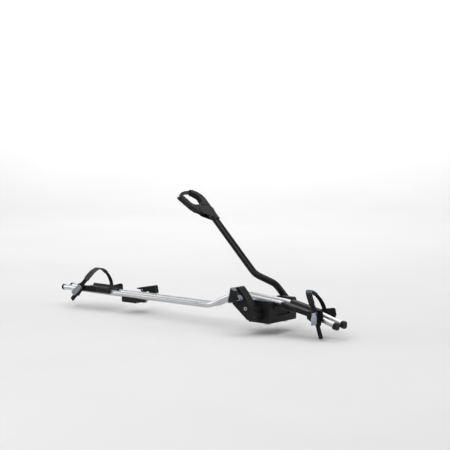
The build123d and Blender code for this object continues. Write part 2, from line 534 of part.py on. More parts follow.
REAR_ROWS = [(-897, 47.1, 27, 180, 0), (-898, 47.1, 56, 180, 0), (-904, 43.5, 80, 160, 0), (-912, 31, 104, 135, 0), (-919, 11, 121, 100, 0), (-927, -9, 124, 75, 0.1), (-933, -26, 115.5, 45, 0.35), (-945, -38, 98, 22, 0.75), (-960, -46, 77.5, 8, 1), (-975.4, -50.2, 58.8, 0, 1), (-1010.6, -50.2, 14.2, 0, 1), (-1023, -51, 1, 0, 1), (-1039, -52.5, -15, 0, 1)]
FRONT_ROWS = [(219, 47.1, 31, 180, 0), (215, 47.1, 62, 180, 0), (205, 43.5, 86, 160, 0), (191, 29, 112, 135, 0), (181, 10, 128.5, 100, 0), (184, -9, 131.5, 75, 0.1), (196, -25, 121.5, 45, 0.35), (211, -37, 104, 22, 0.75), (227, -46, 86, 8, 1), (239.3, -50.2, 69.5, 0, 1), (254.6, -50.2, 12.7, 0, 1), (263, -51, -11, 0, 1), (273, -52.5, -37, 0, 1)]
for nm, rows, ax, az in (("rear", REAR_ROWS, -897.5, 34.0), ("front", FRONT_ROWS, 218.2, 38.0)):
    st = strap_stations(rows, BUCKLES[nm][1])
    strap = ribbon(st, STRAP_W, STRAP_T)
    strap -= rod((ax, 60, az), (0, -1, 0), 2.0, 25)
    padr = ribbon(st[3:8], 25.0, 6.8) - ribbon(st[2:9], STRAP_W, STRAP_T)
    put(f"{nm}_strap", strap.solids().sort_by(SortBy.VOLUME)[-1])
    put(f"{nm}_strap_pad", padr.solids().sort_by(SortBy.VOLUME)[-1])
    put(f"{nm}_strap_anchor_screw", rod((ax, 51.0, az), (0, -1, 0), 4.6, 2.2) + rod((ax, 49.0, az), (0, -1, 0), 2.0, 8.0))
    if nm == "rear":
        tray_r -= rod((ax, 60, az), (0, -1, 0), 2.0, 19.0)
    else:
        mount_f -= rod((ax, 60, az), (0, -1, 0), 2.0, 19.0)
put("rear_wheel_tray", tray_r.solids().sort_by(SortBy.VOLUME)[-1])
put("front_strap_bracket", mount_f.solids().sort_by(SortBy.VOLUME)[-1])


# ---------------------------------------------------------------- rear foot
RX0, RX1 = REAR_FOOT
RBX = (RX0 + RX1) / 2
rf = box(RX0, RX1, -(RAIL_Y + 7), RAIL_Y + 7, PAD_T, 24)
RB_X, RB_Y = -722.0, 60.0
rf += box(-736, -702, 26, 76, PAD_T, 30)
rf -= rod((RB_X, RB_Y, 0), (0, 0, 1), 4.3, 40)
rf -= TUBES
for y in (-RAIL_Y, RAIL_Y):
    rf -= box(RX0 - 5, RX1 + 5, y - RAIL_R, y + RAIL_R, 31, 50)
for xa, xb in ((RX0 + 5, RX0 + 36), (RX0 + 43, RX1 - 5)):
    rf -= box(xa, xb, -8, 8, 3, 20)
# screws that hold the tubes in the rear foot, from below
rscr = []
for y in (-RAIL_Y, RAIL_Y):
    rf -= rod((REAR_SCREW_X, y, 0), (0, 0, 1), 4.6, 10) + rod((REAR_SCREW_X, y, 5), (0, 0, 1), 2.0, 20)
    rscr.append(rod((REAR_SCREW_X, y, 7), (0, 0, 1), 4.3, 3) + rod((REAR_SCREW_X, y, 9), (0, 0, 1), 2.0, 15))
put("rear_foot_screws", *rscr)
put("rear_foot", rf.solids().sort_by(SortBy.VOLUME)[-1])
rp = box(RX0 + 1, RX1 - 1, -(RAIL_Y + 6), RAIL_Y + 6, 0, PAD_T) + box(-735, -703, 29, 75, 0, PAD_T)
rp -= rod((RB_X, RB_Y, -1), (0, 0, 1), 4.3, 10)
put("rear_foot_pad", rp)
LV_Z = 46.0
rbolt = box(RB_X - 10, RB_X + 10, RB_Y - 10, RB_Y + 10, -9, -4.5) + rod((RB_X, RB_Y, -5), (0, 0, 1), 4.0, 45)
rbolt += rod((RB_X, RB_Y - 4, LV_Z), (0, 1, 0), 7.5, 8.0)
rbolt -= rod((RB_X, RB_Y - 5, LV_Z), (0, 1, 0), 3.0, 10.0)
put("rear_slot_bolt", rbolt)
put("rear_clamp_washer", ring((RB_X, RB_Y, 30), (0, 0, 1), 8.4, 4.3, 6.6))
put("rear_lever_pin", rod((RB_X, RB_Y - 11, LV_Z), (0, 1, 0), 3.0, 22.0))
lever = pxz([(-754.5, 48.3), (-752, 51), (-722, 57.5), (-658, 69.8), (-653.5, 67.5), (-648, 40), (-651.5, 36), (-680, 36), (-683, 39), (-688, 44), (-706, 46), (-708, 37.3), (-724.5, 37.3), (-728, 46.8), (-742, 46.8)], RB_Y - 11, RB_Y + 11)
lever += rod((RB_X, RB_Y - 11, LV_Z), (0, 1, 0), 9.0, 22.0)
lever -= rod((RB_X, RB_Y - 12, LV_Z), (0, 1, 0), 3.0 + FIT, 24.0)
lever -= box(RB_X - 13, RB_X + 11.5, RB_Y - 4.4, RB_Y + 4.4, 20, 54.5)
lever -= box(-676, -657, RB_Y - 8, RB_Y + 8, 30, 60)
put("rear_clamp_lever", lever.solids().sort_by(SortBy.VOLUME)[-1])

os.makedirs("parts", exist_ok=True)
for name, shape in nodes.items():
    export_step(shape, f"parts/{name}.step")
    print(name, len(shape.solids()), round(sum(s.volume for s in shape.solids()) / 1000, 2))
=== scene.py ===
import bpy
import bmesh
import json
import math
from mathutils import Matrix, Vector


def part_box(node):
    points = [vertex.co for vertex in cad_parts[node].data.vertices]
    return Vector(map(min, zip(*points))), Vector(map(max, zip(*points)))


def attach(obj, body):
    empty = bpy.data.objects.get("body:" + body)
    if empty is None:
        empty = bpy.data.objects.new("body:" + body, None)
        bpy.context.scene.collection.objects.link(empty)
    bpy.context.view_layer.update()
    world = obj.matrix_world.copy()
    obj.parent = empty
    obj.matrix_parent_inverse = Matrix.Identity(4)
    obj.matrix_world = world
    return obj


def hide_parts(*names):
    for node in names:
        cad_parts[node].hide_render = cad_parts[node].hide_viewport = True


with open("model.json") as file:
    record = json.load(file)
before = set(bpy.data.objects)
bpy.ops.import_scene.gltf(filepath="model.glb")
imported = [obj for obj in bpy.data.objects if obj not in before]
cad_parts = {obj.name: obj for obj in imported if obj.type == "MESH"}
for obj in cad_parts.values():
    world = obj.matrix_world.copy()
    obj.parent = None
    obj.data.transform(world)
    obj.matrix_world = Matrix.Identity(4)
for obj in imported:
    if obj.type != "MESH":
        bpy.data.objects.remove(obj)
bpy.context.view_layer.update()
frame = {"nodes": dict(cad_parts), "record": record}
NODES = frame["nodes"]
RECORD = frame["record"]

# ------------------------------------------------------------------ camera
cam_data = bpy.data.cameras.new("camera")
cam_data.sensor_width = 36.0
cam_data.lens = 116.21
cam_data.clip_start = 0.1
cam_data.clip_end = 100.0
cam = bpy.data.objects.new("camera", cam_data)
bpy.context.scene.collection.objects.link(cam)
RIGHT = Vector((0.777285, 0.629133, 0.004428))
UP = Vector((-0.064210, 0.072325, 0.995312))
BACK = Vector((0.625863, -0.773926, 0.096614))
rot = Matrix((RIGHT, UP, BACK)).transposed()
cam.matrix_world = Matrix.Translation((3.3681855, -4.4552317, 0.9114639)) @ rot.to_4x4()
bpy.context.scene.camera = cam


# ------------------------------------------------------------------ materials
def new_mat(name):
    m = bpy.data.materials.new(name)
    m.use_nodes = True
    nt = m.node_tree
    b = nt.nodes["Principled BSDF"]
    return m, nt, b


def coords(nt, scale=(1, 1, 1), kind="Object"):
    tc = nt.nodes.new("ShaderNodeTexCoord")
    mp = nt.nodes.new("ShaderNodeMapping")
    mp.inputs["Scale"].default_value = scale
    nt.links.new(tc.outputs[kind], mp.inputs["Vector"])
    return mp.outputs["Vector"]


def noise(nt, vec, scale, detail=4.0, rough=0.55):
    n = nt.nodes.new("ShaderNodeTexNoise")
    n.inputs["Scale"].default_value = scale
    n.inputs["Detail"].default_value = detail
    n.inputs["Roughness"].default_value = rough
    nt.links.new(vec, n.inputs["Vector"])
    return n.outputs["Fac"]


def ramp(nt, fac, stops):
    r = nt.nodes.new("ShaderNodeValToRGB")
    e = r.color_ramp.elements
    while len(e) < len(stops):
        e.new(0.5)
    for el, (p, c) in zip(e, stops):
        el.position = p
        el.color = (*c, 1.0) if len(c) == 3 else c
    nt.links.new(fac, r.inputs["Fac"])
    return r.outputs["Color"]


def span(nt, fac, a, b, lo, hi):
    r = nt.nodes.new("ShaderNodeMapRange")
    for k, v in zip(("From Min", "From Max", "To Min", "To Max"), (a, b, lo, hi)):
        r.inputs[k].default_value = v
    nt.links.new(fac, r.inputs["Value"])
    return r.outputs["Result"]


def math_node(nt, op, a, b):
    n = nt.nodes.new("ShaderNodeMath")
    n.operation = op
    for i, v in enumerate((a, b)):
        if isinstance(v, (int, float)):
            n.inputs[i].default_value = v
        else:
            nt.links.new(v, n.inputs[i])
    return n.outputs["Value"]


def bump(nt, height, strength, dist, normal=None):
    b = nt.nodes.new("ShaderNodeBump")
    b.inputs["Strength"].default_value = strength
    b.inputs["Distance"].default_value = dist
    nt.links.new(height, b.inputs["Height"])
    if normal is not None:
        nt.links.new(normal, b.inputs["Normal"])
    return b.outputs["Normal"]


def mix_col(nt, fac, a, b, mode="MIX"):
    n = nt.nodes.new("ShaderNodeMix")
    n.data_type = "RGBA"
    n.blend_type = mode
    nt.links.new(fac, n.inputs["Factor"])
    for sock, v in (("A", a), ("B", b)):
        s = [i for i in n.inputs if i.name == sock and i.type == "RGBA"][0]
        if isinstance(v, tuple):
            s.default_value = (*v, 1.0)
        else:
            nt.links.new(v, s)
    return [o for o in n.outputs if o.type == "RGBA"][0]


def edge_wear(nt, radius):
    # how far the rounded normal leaves the flat one: strong along edges
    bv = nt.nodes.new("ShaderNodeBevel")
    bv.samples = 4
    bv.inputs["Radius"].default_value = radius
    g = nt.nodes.new("ShaderNodeNewGeometry")
    d = nt.nodes.new("ShaderNodeVectorMath")
    d.operation = "DOT_PRODUCT"
    nt.links.new(bv.outputs["Normal"], d.inputs[0])
    nt.links.new(g.outputs["Normal"], d.inputs[1])
    return span(nt, d.outputs["Value"], 0.995, 0.80, 0.0, 1.0), bv.outputs["Normal"]


def plastic(name, base, light, rough=0.5, grain=1400.0, grain_depth=0.00006, wear=0.35, wear_col=None, spec=0.5, radius=0.0012):
    m, nt, b = new_mat(name)
    v = coords(nt)
    broad = noise(nt, v, 14.0, 3.0)
    fine = noise(nt, v, grain, 2.0, 0.6)
    mott = noise(nt, v, 160.0, 4.0, 0.65)
    col = ramp(nt, broad, [(0.30, base), (0.72, light)])
    w, rounded = edge_wear(nt, radius)
    broken = math_node(nt, "MULTIPLY", w, span(nt, mott, 0.38, 0.66, 0.15, 1.0))
    fac = math_node(nt, "MULTIPLY", broken, wear)
    col = mix_col(nt, fac, col, wear_col or tuple(min(1.0, c * 2.4 + 0.012) for c in light))
    nt.links.new(col, b.inputs["Base Color"])
    nt.links.new(span(nt, mott, 0.3, 0.7, rough - 0.06, rough + 0.07), b.inputs["Roughness"])
    b.inputs["Specular IOR Level"].default_value = spec
    n1 = bump(nt, fine, 0.55, grain_depth, rounded)
    n2 = bump(nt, mott, 0.12, 0.0002, n1)
    nt.links.new(n2, b.inputs["Normal"])
    return m


def rubber(name, base, light, rough=0.6, spec=0.3):
    m, nt, b = new_mat(name)
    v = coords(nt)
    broad = noise(nt, v, 30.0, 4.0)
    dust = noise(nt, v, 240.0, 5.0, 0.7)
    fine = noise(nt, v, 2200.0, 2.0)
    col = ramp(nt, broad, [(0.32, base), (0.70, light)])
    w, rounded = edge_wear(nt, 0.0010)
    col = mix_col(nt, span(nt, dust, 0.52, 0.80, 0.0, 0.16), col, tuple(c * 2.2 + 0.01 for c in light))
    nt.links.new(col, b.inputs["Base Color"])
    nt.links.new(span(nt, dust, 0.3, 0.7, rough - 0.07, rough + 0.08), b.inputs["Roughness"])
    b.inputs["Specular IOR Level"].default_value = spec
    nt.links.new(bump(nt, fine, 0.5, 0.00005, rounded), b.inputs["Normal"])
    return m


def metal(name, base, light, rough, stretch=(1, 1, 1), scale=600.0, depth=0.00002, dirt=0.0, radius=0.0006):
    m, nt, b = new_mat(name)
    v = coords(nt, stretch)
    lines = noise(nt, v, scale, 3.0, 0.7)
    vb = coords(nt)
    broad = noise(nt, vb, 9.0, 3.0)
    spots = noise(nt, vb, 220.0, 5.0, 0.7)
    col = ramp(nt, broad, [(0.3, base), (0.7, light)])
    if dirt:
        col = mix_col(nt, span(nt, spots, 0.60, 0.85, 0.0, dirt), col, (0.30, 0.29, 0.27))
    w, rounded = edge_wear(nt, radius)
    nt.links.new(col, b.inputs["Base Color"])
    b.inputs["Metallic"].default_value = 1.0
    nt.links.new(span(nt, lines, 0.3, 0.7, rough - 0.05, rough + 0.08), b.inputs["Roughness"])
    nt.links.new(bump(nt, lines, 0.35, depth, rounded), b.inputs["Normal"])
    return m


MATS = {
    "tube_silver": metal("tube_silver", (0.54, 0.543, 0.555), (0.60, 0.603, 0.615), 0.28, (0.02, 1, 1), 900.0, 0.000003, 0.05),
    "black_plastic": plastic("black_plastic", (0.0035, 0.0036, 0.0040), (0.0060, 0.0062, 0.0068), 0.48, spec=0.20, wear=0.5),
    "dark_grey_plastic": plastic("dark_grey_plastic", (0.0085, 0.0087, 0.0094), (0.0130, 0.0132, 0.0142), 0.46, 1100.0, spec=0.24),
    "rubber_black": rubber("rubber_black", (0.0035, 0.0035, 0.0038), (0.0065, 0.0065, 0.0068), 0.62, 0.20),
    "slate_rubber": rubber("slate_rubber", (0.034, 0.044, 0.055), (0.048, 0.060, 0.073), 0.50, 0.4),
    "zinc_steel": metal("zinc_steel", (0.52, 0.53, 0.55), (0.64, 0.65, 0.66), 0.32, (1, 1, 1), 500.0, 0.00003, 0.25),
    "black_steel": metal("black_steel", (0.045, 0.046, 0.05), (0.065, 0.066, 0.07), 0.42, (1, 1, 1), 500.0, 0.00003, 0.0),
    "blue_grey_plastic": plastic("blue_grey_plastic", (0.115, 0.135, 0.160), (0.150, 0.172, 0.200), 0.45, 1200.0, 0.00004, 0.18),
    "lever_grey_plastic": plastic("lever_grey_plastic", (0.20, 0.218, 0.255), (0.255, 0.275, 0.315), 0.42, 1200.0, 0.00004, 0.15),
    "frame_grey": plastic("frame_grey", (0.026, 0.027, 0.029), (0.038, 0.039, 0.042), 0.44, 1100.0, spec=0.3),
    "lever_slate": plastic("lever_slate", (0.150, 0.160, 0.180), (0.195, 0.206, 0.228), 0.42, 1200.0, 0.00004, 0.15),
    "pad_slate": rubber("pad_slate", (0.017, 0.019, 0.022), (0.025, 0.028, 0.032), 0.52, 0.35),
    "arm_black": plastic("arm_black", (0.0024, 0.0024, 0.0027), (0.0040, 0.0040, 0.0044), 0.26, 2600.0, 0.00002, 0.12, None, 0.20),
    "lock_chrome": metal("lock_chrome", (0.66, 0.66, 0.67), (0.76, 0.76, 0.77), 0.16, (1, 1, 1), 700.0, 0.000006, 0.05),
    "lock_dark": metal("lock_dark", (0.10, 0.10, 0.105), (0.15, 0.15, 0.155), 0.35, (1, 1, 1), 700.0, 0.00001, 0.0),
}

slot_of = {s["node"]: s["material_slot"] for s in RECORD["subparts"]}


def dress(obj, slot):
    obj.data.materials.clear()
    obj.data.materials.append(MATS[slot])


for name, obj in NODES.items():
    # the claw's pins and screws are as dark as the claw
    dress(obj, "dark_grey_plastic" if name in ("jaw_pivot_pins", "claw_cover_screws") else slot_of[name])
    for p in obj.data.polygons:
        p.use_smooth = True


def piece(name, verts, faces, slot, body, nodes=(), sharp=38.0, extra=None):
    # a new mesh piece in the row frame, riding on a body
    me = bpy.data.meshes.new(name)
    me.from_pydata([tuple(v) for v in verts], [], faces)
    me.validate()
    bm = bmesh.new()
    bm.from_mesh(me)
    bmesh.ops.remove_doubles(bm, verts=bm.verts, dist=1e-6)
    bmesh.ops.recalc_face_normals(bm, faces=bm.faces)
    bm.to_mesh(me)
    bm.free()
    for p in me.polygons:
        p.use_smooth = True
    me.set_sharp_from_angle(angle=math.radians(sharp))
    o = bpy.data.objects.new(name, me)
    bpy.context.scene.collection.objects.link(o)
    me.materials.append(MATS[slot])
    for mname in extra or ():
        me.materials.append(MATS[mname])
    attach(o, body)
    slot if slot in SLOTS else slot_of[nodes[0]]
    if nodes:
        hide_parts(*nodes)
    return o


SLOTS = {m["slot"] for m in RECORD["materials"]}


def tube_of(loops, cap=True):
    # verts and faces of a skin over closed loops of equal length
    verts, faces = [], []
    n = len(loops[0])
    for lp in loops:
        verts += lp
    for i in range(len(loops) - 1):
        for k in range(n):
            a, b = i * n + k, i * n + (k + 1) % n
            faces.append((a, b, b + n, a + n))
    if cap:
        faces.append(tuple(reversed(range(n))))
        faces.append(tuple(range((len(loops) - 1) * n, len(loops) * n)))
    return verts, faces


# ------------------------------------------------------------------ straps
MM = 0.001
STRAPS = {
    "rear": {
        "d": (-0.62, 0, -0.785),
        "body": "rear_holder",
        "rows": [(-897, 47.1, 27, 180, 0), (-898, 47.1, 56, 180, 0), (-904, 43.5, 80, 160, 0), (-912, 31, 104, 135, 0), (-919, 11, 121, 100, 0), (-927, -9, 124, 75, 0.1), (-933, -26, 115.5, 45, 0.35), (-945, -38, 98, 22, 0.75), (-960, -46, 77.5, 8, 1), (-975.4, -50.2, 58.8, 0, 1), (-1010.6, -50.2, 14.2, 0, 1), (-1023, -51, 1, 0, 1), (-1039, -52.5, -15, 0, 1)],
    },
    "front": {
        "d": (0.26, 0, -0.965),
        "body": "frame",
        "rows": [(219, 47.1, 31, 180, 0), (215, 47.1, 62, 180, 0), (205, 43.5, 86, 160, 0), (191, 29, 112, 135, 0), (181, 10, 128.5, 100, 0), (184, -9, 131.5, 75, 0.1), (196, -25, 121.5, 45, 0.35), (211, -37, 104, 22, 0.75), (227, -46, 86, 8, 1), (239.3, -50.2, 69.5, 0, 1), (254.6, -50.2, 12.7, 0, 1), (263, -51, -11, 0, 1), (273, -52.5, -37, 0, 1)],
    },
}


def strap_line(rows, d, step):
    # samples (centre, width direction, outward direction, length so far, row number)
    d = Vector(d).normalized()
    wn = Vector((d.z, 0, -d.x))
    val = [Vector(r[:3]) for r in rows]
    h = [(b - a).length for a, b in zip(val, val[1:])]
    full = [tuple(r) for r in rows]

    def slope(i, c):
        s = [(full[j + 1][c] - full[j][c]) / h[j] for j in range(len(h))]
        if i == 0:
            return s[0]
        if i == len(h):
            return s[-1]
        return (h[i] * s[i - 1] + h[i - 1] * s[i]) / (h[i] + h[i - 1])

    dense = []
    for i in range(len(h)):
        n = max(4, int(h[i] / 0.4))
        for j in range(n + (i == len(h) - 1)):
            t = j / n
            row = []
            for c in range(5):
                p0, p1, m0, m1 = full[i][c], full[i + 1][c], slope(i, c) * h[i], slope(i + 1, c) * h[i]
                row.append((2 * t**3 - 3 * t**2 + 1) * p0 + (t**3 - 2 * t**2 + t) * m0 + (3 * t**2 - 2 * t**3) * p1 + (t**3 - t**2) * m1)
            dense.append((row, i + t))
    out, run, last, want = [], 0.0, None, 0.0
    for q, (row, at) in enumerate(dense):
        c = Vector(row[:3])
        if last is not None:
            run += (c - last).length
        last = c
        if run + 1e-9 < want and q != len(dense) - 1:
            continue
        want += step
        nxt = Vector(dense[min(q + 1, len(dense) - 1)][0][:3]) - Vector(dense[max(q - 1, 0)][0][:3])
        tan = nxt.normalized()
        k = min(1.0, max(0.0, row[4]))
        w = -wn * k + Vector((1, 0, 0)) * (1 - k)
        w = (w - tan * w.dot(tan)).normalized()
        a = math.radians(row[3])
        th = tan.cross(w)
        if th.dot(Vector((0, -math.cos(a), math.sin(a)))) < 0:
            th = -th
        out.append((c, w, th, run, at))
    return out


for nm, st in STRAPS.items():
    line = strap_line(st["rows"], st["d"], 0.75)
    loops = []
    total = line[-1][3]
    for i, (c, w, th, run, at) in enumerate(line):
        gap = i % 8 >= 4 and 12.0 < run < total - 9.0
        hh = 0.35 if gap else 1.6
        end = min(1.0, (total - run) / 5.0, (run + 4.0) / 5.0)
        half = 9.5 * (1 - 0.32 * (1 - end) ** 2)
        sec = [(-half, -0.9), (-half, 0.9), (-half + 0.6, 1.6), (-6.3, 1.6), (-5.9, hh), (5.9, hh), (6.3, 1.6), (half - 0.6, 1.6), (half, 0.9), (half, -0.9), (half - 0.6, -1.6), (-half + 0.6, -1.6)]
        loops.append([(c + w * u + th * v) * MM for u, v in sec])
    v, f = tube_of(loops)
    piece(nm + "_ladder_strap", v, f, "rubber_black", st["body"], (nm + "_strap",))
    # pad on the strap: a crowned sleeve with rounded ends, thickest over the top
    part = [q for q in line if 3.0 <= q[4] <= 8.0]
    a0, a1 = part[0][3], part[-1][3]
    loops = []
    for c, w, th, run, at in part:
        e = min(run - a0, a1 - run)
        g = 1.0 if e > 4 else math.sqrt(max(0.0, 1 - ((4 - e) / 4) ** 2)) * 0.55 + 0.45
        groove = 0.6 if int((run - a0) / 3.0) % 2 and 8 < run - a0 < (a1 - a0) - 8 else 0.0
        crown = 3.4 - (0.9 if at > 5.6 else 0.9 * max(0.0, (at - 5.2) / 0.4))
        sec = []
        for q in range(24):
            t = 2 * math.pi * q / 24
            cu, sv = math.cos(t), math.sin(t)
            u = 12.5 * g * math.copysign(abs(cu) ** 0.35, cu)
            vv = crown * g * math.copysign(abs(sv) ** 0.5, sv)
            if sv > 0.5 and abs(u) < 9.5:
                vv -= groove
            sec.append((u, vv))
        loops.append([(c + w * u + th * v2) * MM for u, v2 in sec])
    v, f = tube_of(loops)
    split = [q[4] for q in part]
    pad = piece(nm + "_pad_sleeve", v, f, "slate_rubber" if nm == "front" else "pad_slate", st["body"], (nm + "_strap_pad",), extra=["rubber_black"])
    if nm == "front":
        # the block over the top is slate; the run below it on the near side is black rubber, painted shade standing for
        # the pad's darker shaded side
        edge = part[min(i for i, q in enumerate(split) if q > 5.6)][0] * MM
        for p in pad.data.polygons:
            if p.center.y < 0.0 and p.center.z < edge.z:
                p.material_index = 1

# ------------------------------------------------------------------ buckle levers
LIFT = 22.0
PIN_S, PIN_H = -17.0, 8.2
BUCKLES = {"rear": ((-995.0, -48.0, 34.0), (-0.62, 0, -0.785), "rear_lever"), "front": ((247.5, -48.0, 39.0), (0.26, 0, -0.965), "front_lever")}
LEVER = [(-3.88, -0.5, 0.5), (-3.5, -1.7, 1.7), (-2.6, -2.9, 2.9), (-1.3, -3.65, 3.65), (0, -3.85, 3.9), (3, -3.6, 3.9), (7, -3.4, 4.2), (10.5, -3.3, 4.55), (12, -3.25, 4.6)]
LEVER += [(x, -3.25 + 0.85 * (x - 12) / 25, 4.8 + 1.4 * math.cos((x - 24) / 15.0 * 1.45)) for x in (13, 15, 18, 21, 24, 27, 30, 32, 33, 34)]
for i in range(4):
    x = 35.0 + 2.3 * i
    zb, zt = -2.4 + max(0.0, x - 37) * 0.36, 5.0 - max(0.0, x - 38) * 0.16
    LEVER += [(x, zb, zt - 0.5), (x + 0.35, zb + 0.05, zt), (x + 1.3, zb + 0.1, zt), (x + 1.65, zb + 0.15, zt - 0.5)]
LEVER += [(44.4, 0.4, 3.4), (45.4, 1.2, 3.0), (45.9, 1.8, 2.5)]
for nm, (c, d, body) in BUCKLES.items():
    d = Vector(d).normalized()
    zz = Vector((0, -1, 0))
    yy = zz.cross(d)
    ca, sa = math.cos(math.radians(LIFT)), math.sin(math.radians(LIFT))

    def at(x, y, z):
        # lever coordinates, tilted about the pin, to the row frame
        u, v = x * ca - z * sa, x * sa + z * ca
        return (Vector(c) + d * (PIN_S + u) + yy * y + zz * (PIN_H + v)) * MM

    loops = []
    for x, zb, zt in LEVER:
        w = 9.7 + 1.5 * min(1.0, max(0.0, (x - 14) / 4.0)) - (0.9 * max(0.0, x - 43.5) if x > 43.5 else 0.0)
        r = min(0.9, (zt - zb) * 0.3)
        rec = 0.7 if 13 <= x <= 33 else 0.0
        sec = [(-w, zb + r), (-w, zt - r), (-w + r, zt), (-6.4, zt), (-5.6, zt - rec), (5.6, zt - rec), (6.4, zt), (w - r, zt), (w, zt - r), (w, zb + r), (w - r, zb), (-w + r, zb)]
        loops.append([at(x, y, z) for y, z in sec])
    v, f = tube_of(loops)
    piece(nm + "_lever", v, f, "lever_grey_plastic" if nm == "front" else "lever_slate", body, (nm + "_buckle_lever",))

# ------------------------------------------------------------------ frames and ribs on the trays
def ridge(name, o, sd, wd, s0, s1, w0, w1, t, h, body, slot="black_plastic"):
    # a raised rectangular frame on a flat side; out is -Y
    o, sd, wd = Vector(o), Vector(sd).normalized(), Vector(wd).normalized()
    out = Vector((0, -1, 0))
    loops = []
    for g, lift in ((0.0, -0.4), (0.0, h - 0.25), (0.25, h), (t - 0.25, h), (t, h - 0.25), (t, -0.4), (0.0, -0.4)):
        loops.append([(o + sd * a + wd * b + out * lift) * MM for a, b in ((s0 + g, w0 + g), (s1 - g, w0 + g), (s1 - g, w1 - g), (s0 + g, w1 - g))])
    v, f = tube_of(loops, cap=False)
    piece(name, v, f, "black_plastic", body)
    bpy.data.objects[name].data.materials[0] = MATS[slot]


def boxes(name, o, sd, wd, cells, h, body):
    # low rounded bars on a flat side; cells are (s0, s1, w0, w1)
    o, sd, wd = Vector(o), Vector(sd).normalized(), Vector(wd).normalized()
    out = Vector((0, -1, 0))
    verts, faces = [], []
    for s0, s1, w0, w1 in cells:
        loops = []
        for g, lift in ((0.0, -0.4), (0.0, h - 0.3), (0.3, h)):
            loops.append([(o + sd * a + wd * b + out * lift) * MM for a, b in ((s0 + g, w0 + g), (s1 - g, w0 + g), (s1 - g, w1 - g), (s0 + g, w1 - g))])
        v, f = tube_of(loops)
        n = len(verts)
        verts += v
        faces += [tuple(i + n for i in q) for q in f]
    piece(name, verts, faces, "black_plastic", body)


FTS = Vector((153.0, 0, -30.3)).normalized()
FTW = Vector((30.3, 0, 153.0)).normalized()
FTO = (75.8, -44.0, 70.56)
ridge("front_tray_badge_frame", FTO, FTS, FTW, 3.0, 70.0, -11.0, 10.5, 2.2, 1.3, "frame", "frame_grey")
ridge("rear_tray_badge_frame", (0, -44.0, 0), (1, 0, 0), (0, 0, 1), -900.0, -834.0, 30.5, 49.5, 1.8, 1.0, "rear_holder", "frame_grey")
boxes("rear_tray_ribs", (0, -44.0, 0), (1, 0, 0), (0, 0, 1), [(-944.0 + 6.0 * i, -941.4 + 6.0 * i, 30.5, 49.5) for i in range(7)], 0.9, "rear_holder")

# ------------------------------------------------------------------ knob
KX, KZ = -67.0, 102.0
KY0, KY1 = -158.0, -134.5
HUB_R, TIP_R, TIP_D, PAD_W = 21.0, 6.5, 29.0, 6.5
PH = math.acos((HUB_R - TIP_R) / TIP_D)


def lobe_r(phi, back=0.0):
    # distance from the knob's axis to one lobe's outline in direction phi from the lobe
    best = 0.0
    ux, uy = math.cos(phi), abs(math.sin(phi))
    # tip circle
    cx = TIP_D - back
    b = ux * cx
    disc = b * b - (cx * cx - TIP_R * TIP_R)
    if disc > 0:
        r = b + math.sqrt(disc)
        px, py = ux * r - cx, uy * r
        if math.atan2(py, px) <= PH + 1e-6:
            best = r
    # tangent line: n . (p - c) = TIP_R with n = (cos PH, sin PH)
    nx, ny = math.cos(PH), math.sin(PH)
    den = nx * ux + ny * uy
    if best == 0.0 and den > 0:
        r = (TIP_R + nx * cx) / den
        x = ux * r + back
        if x >= HUB_R * math.cos(PH) - 1e-6:
            best = r
    return best


LOBES = [math.radians(a) for a in (107.0, 227.0, 347.0)]


def near_lobe(t):
    return min(((t - a + math.pi) % (2 * math.pi) - math.pi for a in LOBES), key=abs)


NK = 216
outer, inner = [], []
for i in range(NK):
    t = 2 * math.pi * i / NK
    phi = near_lobe(t)
    ro = max(HUB_R, lobe_r(phi))
    outer.append(ro)
    inner.append(min(ro, max(23.0, lobe_r(phi, PAD_W)) + 0.15))


def relax(vals, n):
    for _ in range(n):
        vals = [0.25 * vals[i - 1] + 0.5 * vals[i] + 0.25 * vals[(i + 1) % len(vals)] for i in range(len(vals))]
    return vals


outer_s = relax(outer, 3)
rings = []
for y, inset, which in [(KY1, 3.2, 0), (KY1 - 0.5, 1.4, 0), (KY1 - 1.6, 0.3, 0), (KY1 - 3.0, 0.0, 0), (KY1 - 3.9, 0.0, 0), (KY1 - 4.0, 0.1, 1), (KY0 + 4.0, 0.1, 1), (KY0 + 2.2, 0.5, 1), (KY0 + 1.2, 1.6, 1), (KY0 + 0.8, 3.2, 1), (KY0 + 0.8, 8.2, 1), (KY0 + 0.2, 9.2, 1), (KY0 - 0.9, 10.0, 1), (KY0 - 1.4, 11.2, 1), (KY0 - 1.5, 14.0, 1)]:
    ring = []
    for i in range(NK):
        t = 2 * math.pi * i / NK
        r = outer_s[i] if which == 0 else inner[i]
        if y < KY0 + 0.5:
            r = 21.0
        elif inset > 8:
            r = 0.5 * (21.0 + r) if inset < 9 else 21.0
        r -= inset
        ring.append(Vector((KX + r * math.cos(t), y, KZ + r * math.sin(t))) * MM)
    rings.append(ring)
v, f = tube_of(rings)
